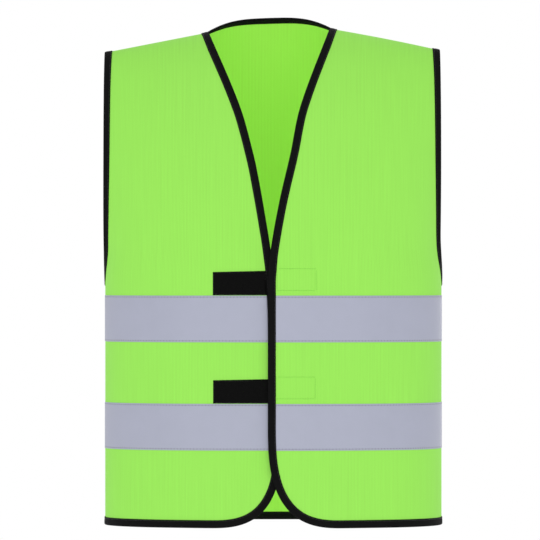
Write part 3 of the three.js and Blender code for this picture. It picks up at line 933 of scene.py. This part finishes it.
def stitch_shape():
    """One stitch, one long and one in radius: rings along it that sink at both ends."""
    at = np.array([-0.46, -0.36, 0.0, 0.36, 0.46])
    thick = np.array([0.55, 0.9, 1.0, 0.9, 0.55])
    lift = np.array([-0.7, 0.0, 0.35, 0.0, -0.7])
    turn = np.linspace(0, 2 * np.pi, 7)[:-1]
    ring = np.stack([np.zeros(6), np.cos(turn), np.sin(turn)], 1)
    points = ring[None] * thick[:, None, None]
    points[..., 0] = at[:, None]
    points[..., 2] += lift[:, None]
    points = np.concatenate([points.reshape(-1, 3), [(-0.5, 0, -1.0), (0.5, 0, -1.0)]])
    index = np.arange(30).reshape(5, 6)
    first = np.stack([np.roll(index[0], -1), np.full(6, 30), index[0]], 1)
    last = np.stack([index[-1], np.full(6, 31), np.roll(index[-1], -1)], 1)
    return points, tube_walls(index), np.concatenate([first, last])


def stitches(centre, tangent, side, normal, length, radius):
    """A stitch at each centre: its shape, laid along the tangent and scaled."""
    shape = stitch_shape()[0]
    return (centre[:, None] + tangent[:, None] * shape[None, :, :1] * length
            + side[:, None] * shape[None, :, 1:2] * radius
            + normal[:, None] * shape[None, :, 2:] * radius)


def stitch_row(line, out, pitch=None, gap=0.12):
    """Stitches along a line of points with the way out at each: where each one lies, as points."""
    pitch = pitch or sizes().stitch_pitch
    walked = along(line)
    middle = (np.arange(int(walked[-1] / pitch)) + 0.5) * pitch
    ahead, behind = (read_along(middle + step, walked, line) for step in (pitch / 3, -pitch / 3))
    tangent, normal = unit(ahead - behind), unit(read_along(middle, walked, out))
    return stitches(read_along(middle, walked, line), tangent, unit(np.cross(normal, tangent)),
                    normal, pitch * (1 - gap), sizes().thread_radius)


def stitching(name, rows, thread, panel, slot):
    """All rows of stitches in one thread on one panel, as one mesh of closed stitches."""
    shape, walls, ends = stitch_shape()
    points = np.concatenate(rows)
    first = (np.arange(len(points)) * len(shape))[:, None, None]
    polygons = [(walls[None] + first).reshape(-1, 4), (ends[None] + first).reshape(-1, 3)]
    put(mesh_piece(name, points.reshape(-1, 3), polygons, material(thread)), panel, slot)


# ---- Operators ----


class VEST_OT_panels(bpy.types.Operator):
    """Make the back and the two fronts, closed sheets of knit"""

    bl_idname = "vest.panels"
    bl_label = "Knit Panels"

    def execute(self, context):
        for panel, name, grid in ((BACK, "back", back_grid()), (LEFT, "left_front", front_grid(LEFT)),
                                  (RIGHT, "right_front", front_grid(RIGHT))):
            angle, rise = grid
            outer, inner = (lie(panel, angle, rise, side * CLOTH / 2)[0] for side in (1, -1))
            made = slab(f"knit_{name}", outer, inner, material("lime_knit"),
                        cloth_map(panel, angle, rise))
            if panel is BACK:
                # The inside of the back takes the copy of the knit with the stronger painted glow
                made.data.materials.append(material("lime_knit_inside_painted_glow"))
                cells = (angle.shape[0] - 1) * (angle.shape[1] - 1)
                kinds = np.zeros(len(made.data.polygons), np.int32)
                kinds[cells:2 * cells] = 1
                made.data.polygons.foreach_set("material_index", kinds)
            put(made, panel, "knit", f"{name}_panel")
        return {"FINISHED"}


def cloth_map(panel, angle, rise):
    """Where each spot lies on the flat cloth: how far round the body at the chest, and how far up
    the straight grain, both as lengths walked over the shape."""
    turn = np.linspace(-QUARTER, QUARTER, 801)
    round_line = cloth_point(panel, turn, np.full_like(turn, -0.5))
    u = np.interp(across_at(panel, angle, rise), round_line[:, 0], along(round_line * (1, 1, 0)))
    climbing = np.linspace(-1.05, QUARTER, 801)
    up_line = cloth_point(panel, np.full_like(climbing, 0.5), climbing)
    v = np.interp(rise, climbing, along(up_line * (0, 1, 1)))
    return np.stack([u, v], -1)


class VEST_OT_bindings(bpy.types.Operator):
    """Make the black bindings that fold round every free edge"""

    bl_idname = "vest.bindings"
    bl_label = "Bindings"

    def execute(self, context):
        for seed, (name, edge) in enumerate(bound_edges().items()):
            binding(name.replace("_binding", "_folded_binding"), edge, name, seed)
        return {"FINISHED"}


def bound_edges():
    """Every edge that carries a binding, by the name of its solid."""
    return {
        "back_neck_binding": back_neck_edge(),
        "back_hem_binding": back_hem_edge(),
        "left_armhole_binding_back": armhole_edge(BACK, 1),
        "right_armhole_binding_back": armhole_edge(BACK, -1),
        "left_armhole_binding_front": armhole_edge(LEFT, 1),
        "right_armhole_binding_front": armhole_edge(RIGHT, -1),
        "left_front_edge_binding": front_edge(LEFT),
        "right_front_edge_binding": front_edge(RIGHT),
    }


def band_grid(panel, foot, columns, heights):
    """x and heights of a band, from its binding to the side seam, or right across the back. The
    two corners at the binding are slightly rounded."""
    heights = np.broadcast_to(heights, (columns, len(heights)))
    share = np.linspace(0, 1, columns)[:, None]
    level = np.full(heights.shape, -1.0)
    if panel is BACK:
        angle = QUARTER - 2 * QUARTER * share + 0 * heights
        return across_at(panel, angle, level), foot + heights
    near = np.clip(np.minimum(heights[0], TAPE_WIDTH - heights[0]) / 0.0012, 0, 1)
    cut = 0.0012 * (1 - np.sqrt(1 - (1 - near) ** 2))
    start = beside_binding(panel, foot + heights[0]) + panel.hand * cut
    first = angle_at(panel, start, level[0])
    angle = first + (panel.hand * QUARTER - first) * share
    return across_at(panel, angle, level), foot + heights


def band_heights():
    """Rows across a band, close together at its edges and its stitches."""
    edge = np.array([0, 0.1, 0.3, 0.6, 1.0, 1.3, 1.6, 1.9, 2.3, 2.9, 3.8, 5.5, 9, 14, 19]) / 1000
    return np.concatenate([edge, [0.025], TAPE_WIDTH - edge[::-1]])


def band_length(panel, x, height):
    """Length walked along each row of a band."""
    point = cloth_point(panel, *spot_at(panel, x, height))
    steps = np.linalg.norm(np.diff(point, axis=0), axis=-1)
    return np.concatenate([np.zeros((1, x.shape[1])), np.cumsum(steps, 0)])


class VEST_OT_bands(bpy.types.Operator):
    """Make the reflective bands, which dip along their rows of stitches"""

    bl_idname = "vest.bands"
    bl_label = "Reflective Bands"

    def execute(self, context):
        for panel, name in ((BACK, "back"), (LEFT, "left_front"), (RIGHT, "right_front")):
            for level, foot in TAPE_FEET.items():
                rows = band_heights()
                x, height = band_grid(panel, foot, 561 if panel is BACK else 281, rows)
                length = band_length(panel, x, height)
                near = np.minimum(rows, TAPE_WIDTH - rows)
                rounded = np.sqrt(1 - (1 - np.clip(near / 0.0004, 0, 1)) ** 2)
                groove = np.exp(-(((near - sizes().tape_stitch_inset) / 0.0007) ** 2))
                puff = 0.6 + 0.4 * np.cos(2 * np.pi * length / sizes().stitch_pitch)
                face = sizes().tape_thickness * (0.25 + 0.75 * rounded) - 0.00016 * groove * puff
                under = np.full(x.shape, SKIN)
                uv = np.stack([length, np.broadcast_to(rows, x.shape)], -1)
                made = laid(f"{level}_band_{name}", panel, x, height, under, under + face,
                            material("beaded_tape"), uv)
                put(made, panel, "reflective_tape", f"{level}_tape_{name}")
        return {"FINISHED"}


def strip_place(kind, level, panel):
    """Inner end of a fastening strip, its length and the height of its lower edge."""
    foot = TAPE_FEET[level] + TAPE_WIDTH + ABOVE_BAND[kind]
    ends = beside_binding(panel, np.array([foot, foot + STRIP_WIDTH])) * panel.hand
    start = ends.max() * panel.hand
    return start, HOOK_LENGTH if kind == "hook" else start - STRIP_ENDS[level], foot


def strip_grid(kind, level, panel, columns, rows):
    """x and heights of a strip, and how near each point is to its border. A loop strip grows a
    little taller towards the closure, as its upper edge isn't quite level."""
    start, length, foot = strip_place(kind, level, panel)
    share, up = np.meshgrid(np.linspace(0, 1, columns), np.linspace(0, 1, rows), indexing="ij")
    wide = STRIP_WIDTH + (0.0013 * (1 - share) - 0.0002 if kind == "loop" else 0.0)
    inner = beside_binding(panel, foot + up * wide) if kind == "loop" else start
    far = start + panel.hand * length
    x = inner + (far - inner) * share
    border = np.minimum(np.minimum(share, 1 - share) * length, np.minimum(up, 1 - up) * wide)
    return x, foot + up * wide, border, share * length, up * wide


class VEST_OT_strips(bpy.types.Operator):
    """Make the loop strips outside the right front and the hook strips inside the left front"""

    bl_idname = "vest.strips"
    bl_label = "Hook and Loop Strips"

    def execute(self, context):
        rng = np.random.default_rng(7)
        for kind, panel, face, columns, rows in (("loop", RIGHT, 1, 131, 61),
                                                 ("hook", LEFT, -1, 91, 51)):
            for level in TAPE_FEET:
                x, height, border, u, v = strip_grid(kind, level, panel, columns, rows)
                ground = 0.00045 * np.sqrt(1 - (1 - np.clip(border / 0.0004, 0, 1)) ** 2)
                pile = smooth_step((border - 0.0012) / 0.0009)
                high = sizes().pile_height if kind == "loop" else 0.0002
                tangle = rng.uniform(-1, 1, x.shape) * (0.00016 if kind == "loop" else 0.00002)
                over = SKIN + 0.0001 + ground + pile * (high + tangle)
                under = np.full(x.shape, SKIN)
                finish = material(f"black_{kind}s")
                made = laid(f"{level}_{kind}_patch", panel, x, height, face * under, face * over,
                            finish, np.stack([u, v], -1))
                put(made, panel, "hook_and_loop", f"{level}_{kind}_strip")
                if kind == "hook":
                    hooks = hook_rows(level, panel)
                    put(mesh_piece(f"{level}_hooks", *hooks, finish), panel, "hook_and_loop")
        return {"FINISHED"}


def hook_rows(level, panel):
    """Rows of small bent hooks on the inside of the left front: each a three-sided stem that leans
    over at its tip."""
    start, length, foot = strip_place("hook", level, panel)
    across, up = np.meshgrid(
        np.arange(0.0028, length - 0.0026, 0.0014), np.arange(0.0028, STRIP_WIDTH - 0.0026, 0.0015),
        indexing="ij")
    x = start + panel.hand * across.ravel()
    angle, rise = spot_at(panel, x, foot + up.ravel())
    point, out = lie(panel, angle, rise, np.full(x.shape, -(SKIN + 0.0006)))
    upward = unit(np.array([0, 0, 1.0]) - out * out[:, 2:])
    side = np.cross(out, upward)
    turn = np.linspace(0, 2 * np.pi, 5)[:-1]
    rings = []
    for down, lean, radius in ((0, 0, 0.2), (0.28, 0, 0.16), (0.52, 0.12, 0.15), (0.58, 0.42, 0.12),
                               (0.42, 0.5, 0.06)):
        middle = point - out * down / 1000 + upward * lean / 1000
        ring = (side[:, None] * np.cos(turn)[None, :, None]
                + upward[:, None] * np.sin(turn)[None, :, None])
        rings.append(middle[:, None] + ring * radius / 1000)
    points = np.concatenate(rings, 1)
    index = np.arange(20).reshape(5, 4)
    faces = np.concatenate([tube_walls(index), index[:1, ::-1], index[-1:]])
    first = (np.arange(len(points)) * 20)[:, None, None]
    return points.reshape(-1, 3), [(faces[None] + first).reshape(-1, 4)]


class VEST_OT_label(bpy.types.Operator):
    """Make the blank care label inside the back, caught in the left side seam"""

    bl_idname = "vest.label"
    bl_label = "Care Label"

    def execute(self, context):
        depth, up = np.meshgrid(np.linspace(0, 1, 41), np.linspace(0, 1, 61), indexing="ij")
        x = x_beside_seam(BACK, LABEL_REACH * depth, 1)
        height = LABEL_FOOT + LABEL_HEIGHT * up
        curl = 0.0012 * depth ** 2 * (1 + 0.5 * np.sin(2 * np.pi * up + 0.6))
        border = np.minimum(up, 1 - up) * LABEL_HEIGHT
        hem = 0.00012 * smooth_step((0.0045 - border) / 0.0006)
        under = -(SKIN + 0.00001 + curl * 0.8)
        uv = np.stack([depth * LABEL_REACH, up * LABEL_HEIGHT], -1)
        made = laid("satin_care_label", BACK, x, height, under, under - 0.00016 - hem,
                    material("white_satin"), uv)
        put(made, BACK, "label", "care_label")
        return {"FINISHED"}


def x_beside_seam(panel, depth, hand):
    """x of the spots of a panel that are a depth away from the side seam on one hand."""
    angle = np.arccos((depth / panel.depth) ** (1 / SQUARENESS)) * hand
    return across_at(panel, angle, np.full(depth.shape, -1.0))


def side_allowance(hand, depth, height, offset):
    """Points of a side seam's turned-in cloth, at distances from the seam: it belongs to the front
    and reaches past the seam on to the inside of the back. Also the way into the vest."""
    points, ways = [], []
    for panel in (BACK, LEFT if hand > 0 else RIGHT):
        x = x_beside_seam(panel, np.abs(depth), hand)
        point, out = lie(panel, *spot_at(panel, x, height), -offset)
        points.append(point)
        ways.append(-out)
    behind = (depth > 0)[..., None]
    return np.where(behind, *points), np.where(behind, *ways)


def shoulder_allowance(hand):
    """Grid of spots of a shoulder seam's turned-in cloth, on the inside of the back."""
    neck = NECK_LEFT_X if hand > 0 else -NECK_RIGHT_X
    x, depth = np.meshgrid(np.linspace(neck + 0.0085, HALF_WIDTH - 0.009, 90) * hand,
                           np.linspace(*SHOULDER_ALLOWANCE, 12), indexing="ij")
    angle = angle_at(BACK, x, np.full(x.shape, QUARTER))
    reach = BACK_DEPTH * np.maximum(np.cos(angle), 0.05) ** SQUARENESS
    return angle, np.arccos(np.clip(depth / reach, 0, 1)), depth


class VEST_OT_seams(bpy.types.Operator):
    """Make the turned-in cloth of the side and shoulder seams, inside the vest"""

    bl_idname = "vest.seams"
    bl_label = "Seams"

    def execute(self, context):
        knit = material("lime_knit")
        for hand, name in ((1, "left"), (-1, "right")):
            depth, height = np.meshgrid(np.linspace(*SIDE_ALLOWANCE, 17),
                                        np.linspace(0.009, 0.2565, 180), indexing="ij")
            low = SKIN + 0.00036 * smooth_step((depth - SIDE_ALLOWANCE[0]) / 0.003)
            swell = 0.00035 + 0.00012 * np.sin(2 * np.pi * height / 0.0041)
            near, far = (side_allowance(hand, depth, height, off)[0] for off in (low, low + swell))
            made = slab(f"{name}_side_seam_allowance", far, near, knit,
                        np.stack([depth, height], -1))
            put(made, LEFT if hand > 0 else RIGHT, "knit")
            angle, rise, depth = shoulder_allowance(hand)
            low = lie(BACK, angle, rise, np.full(angle.shape, -SKIN))[0]
            high = lie(BACK, angle, rise, np.full(angle.shape, -SKIN - 0.0004))[0]
            length = along(low[:, 0])[:, None] + 0 * depth
            made = slab(f"{name}_shoulder_seam_allowance", high, low, knit,
                        np.stack([depth, length], -1))
            put(made, BACK, "knit")
        return {"FINISHED"}


def line_on(panel, x, height, offset):
    """A line on a panel through points at x and heights, and the way out along it."""
    return lie(panel, *spot_at(panel, x, height), np.full(np.shape(x), offset))


def box_rows(kind, panel, offset):
    """Four rows of stitches round each fastening strip of a panel, a little in from its border."""
    rows, inset = [], STRIP_STITCH_INSET
    for level in TAPE_FEET:
        start, length, foot = strip_place(kind, level, panel)
        a, b = start + panel.hand * inset, start + panel.hand * (length - inset)
        low, high = foot + inset, foot + STRIP_WIDTH - inset
        corners = [(a, low), (b, low), (b, high), (a, high), (a, low)]
        for (x0, h0), (x1, h1) in zip(corners, corners[1:]):
            line = line_on(panel, np.linspace(x0, x1, 60), np.linspace(h0, h1, 60), offset)
            rows.append(stitch_row(*line, pitch=STRIP_STITCH_PITCH))
    return rows


def band_stitches(panel):
    """Two rows of stitches on each band of a panel."""
    rows = []
    for foot in TAPE_FEET.values():
        for up in (sizes().tape_stitch_inset, TAPE_WIDTH - sizes().tape_stitch_inset):
            x, height = band_grid(panel, foot, 900, np.array([up]))
            rows.append(stitch_row(*line_on(panel, x[:, 0], height[:, 0], SKIN + 0.00028), gap=0.2))
    return rows


def overlock_rows(hand):
    """Stitches that lie across the turned-in cloth of a side seam, close together."""
    height = np.linspace(0.01, 0.2555, 180)
    line, out = side_allowance(hand, np.full(180, 0.0038), height, np.full(180, SKIN + 0.00092))
    walked = along(line)
    count = int(walked[-1] / OVERLOCK_PITCH)
    upward = np.array([0.0, 0.0, 1.0])
    rows = []
    for shift, lean in ((0.25, 0.35), (0.75, -0.35)):
        middle = (np.arange(count) + shift) * OVERLOCK_PITCH
        normal = unit(read_along(middle, walked, out))
        tangent = unit(unit(np.cross(normal, upward)) + lean * upward)
        rows.append(stitches(read_along(middle, walked, line), tangent, np.cross(normal, tangent),
                             normal, OVERLOCK_LENGTH, OVERLOCK_RADIUS))
    return rows


class VEST_OT_stitching(bpy.types.Operator):
    """Sew the rows of stitches on bindings, bands, strips and side seams"""

    bl_idname = "vest.stitching"
    bl_label = "Stitching"

    def execute(self, context):
        panels = {"back": BACK, "left_front": LEFT, "right_front": RIGHT}
        edges = bound_edges().values()
        for name, panel in panels.items():
            rows = []
            for edge in edges:
                for face in (1, -1) if edge.panel is panel else ():
                    line, out = edge.line(SEAM_INSET, face * 0.00112)
                    rows.append(stitch_row(line, out * face))
            if panel is RIGHT:
                rows += box_rows("loop", panel, SKIN + 0.00062)
            if panel is LEFT:
                rows += box_rows("hook", panel, -(SKIN + 0.00062))
            stitching(f"black_stitches_{name}", rows, "black_thread", panel, "binding")
            stitching(f"grey_stitches_{name}", band_stitches(panel), "grey_thread", panel,
                      "reflective_tape")
        stitching("lime_stitches_left_front", box_rows("hook", LEFT, CLOTH / 2 + 0.00012),
                  "lime_thread", LEFT, "knit")
        for hand, name, panel in ((1, "left_front", LEFT), (-1, "right_front", RIGHT)):
            stitching(f"overlock_{name}", overlock_rows(hand), "lime_thread", panel, "knit")
        return {"FINISHED"}


class VEST_OT_sheets(bpy.types.Operator):
    bl_idname = "vest.sheets"
    bl_label = "Declare Sheets"

    def execute(self, context):
        return {"FINISHED"}


class VEST_OT_stage(bpy.types.Operator):
    """Set up the pale floor, the soft white studio light and the camera"""

    bl_idname = "vest.stage"
    bl_label = "Studio"

    def execute(self, context):
        scene = context.scene
        corners = FLOOR_HALF * np.array([(-1, -1), (1, -1), (1, 1), (-1, 1)])
        top = np.concatenate([corners, np.full((4, 1), FLOOR_HEIGHT)], 1)
        points = np.concatenate([top, top - (0, 0, FLOOR_THICKNESS)])
        around = np.arange(4)
        after = np.roll(around, -1)
        sides = np.stack([around, around + 4, after + 4, after], 1)
        floor = mesh_piece("floor", points, [np.array([[0, 1, 2, 3], [7, 6, 5, 4]]), sides],
                           material("pale_floor"), smooth=False)
        world = bpy.data.worlds.new("white_studio")
        world.use_nodes = True
        scene.world = world
        tree = world.node_tree
        backdrop = tree.nodes["Background"]
        backdrop.inputs["Color"].default_value = (*WHITE_STUDIO, 1.0)
        seen = linked(tree, "ShaderNodeLightPath").outputs["Is Camera Ray"]
        tree.links.new(spread(tree, seen, ROOM_LIGHT, 1.0), backdrop.inputs["Strength"])
        for name, (place, power) in SOFTBOXES.items():
            light = bpy.data.lights.new(name, "AREA")
            light.shape, light.size, light.energy = "SQUARE", SOFTBOX_SIZE, power
            lamp = bpy.data.objects.new(name, light)
            lamp.location = place
            lamp.rotation_euler = direction_turn(np.array(LIT_SPOT) - np.array(place))
            scene.collection.objects.link(lamp)
        camera = bpy.data.objects.new("camera", bpy.data.cameras.new("camera"))
        camera.data.lens, camera.data.sensor_width = CAMERA_LENS, 36.0
        camera.data.clip_end = 60.0
        camera.location = CAMERA_PLACE
        camera.rotation_euler = (QUARTER, 0, 0)
        scene.collection.objects.link(camera)
        scene.camera = camera
        scene.view_settings.view_transform = "Standard"
        return {"FINISHED"}


def direction_turn(towards):
    """Turn that points a light along a direction."""
    x, y, z = towards
    return (math.atan2(math.hypot(x, y), -z), 0, math.atan2(y, x) - QUARTER)


class VEST_PT_panel(bpy.types.Panel):
    """The vest's makers, sizes and colours in the sidebar"""

    bl_label = "High Visibility Vest"
    bl_idname = "VEST_PT_panel"
    bl_space_type = "VIEW_3D"
    bl_region_type = "UI"
    bl_category = "Vest"

    def draw(self, context):
        for made in OPERATORS:
            self.layout.operator(made.bl_idname)
        for group in (context.scene.vest_sizes, context.scene.vest_colours):
            for name in group.bl_rna.properties.keys():
                if name not in ("rna_type", "name"):
                    self.layout.prop(group, name)


OPERATORS = (VEST_OT_panels, VEST_OT_bindings, VEST_OT_bands, VEST_OT_strips, VEST_OT_label,
             VEST_OT_seams, VEST_OT_stitching, VEST_OT_sheets, VEST_OT_stage)
CLASSES = (VestSizes, VestColours, *OPERATORS, VEST_PT_panel)


def register():
    for made in CLASSES:
        bpy.utils.register_class(made)
    bpy.types.Scene.vest_sizes = PointerProperty(type=VestSizes)
    bpy.types.Scene.vest_colours = PointerProperty(type=VestColours)


def unregister():
    del bpy.types.Scene.vest_sizes
    del bpy.types.Scene.vest_colours
    for made in reversed(CLASSES):
        bpy.utils.unregister_class(made)


def main():
    """Makes everything in order."""
    register()
    bpy.ops.vest.panels()
    bpy.ops.vest.bindings()
    bpy.ops.vest.bands()
    bpy.ops.vest.strips()
    bpy.ops.vest.label()
    bpy.ops.vest.seams()
    bpy.ops.vest.stitching()
    bpy.ops.vest.sheets()
    bpy.ops.vest.stage()


if __name__ == "__main__":
    main()
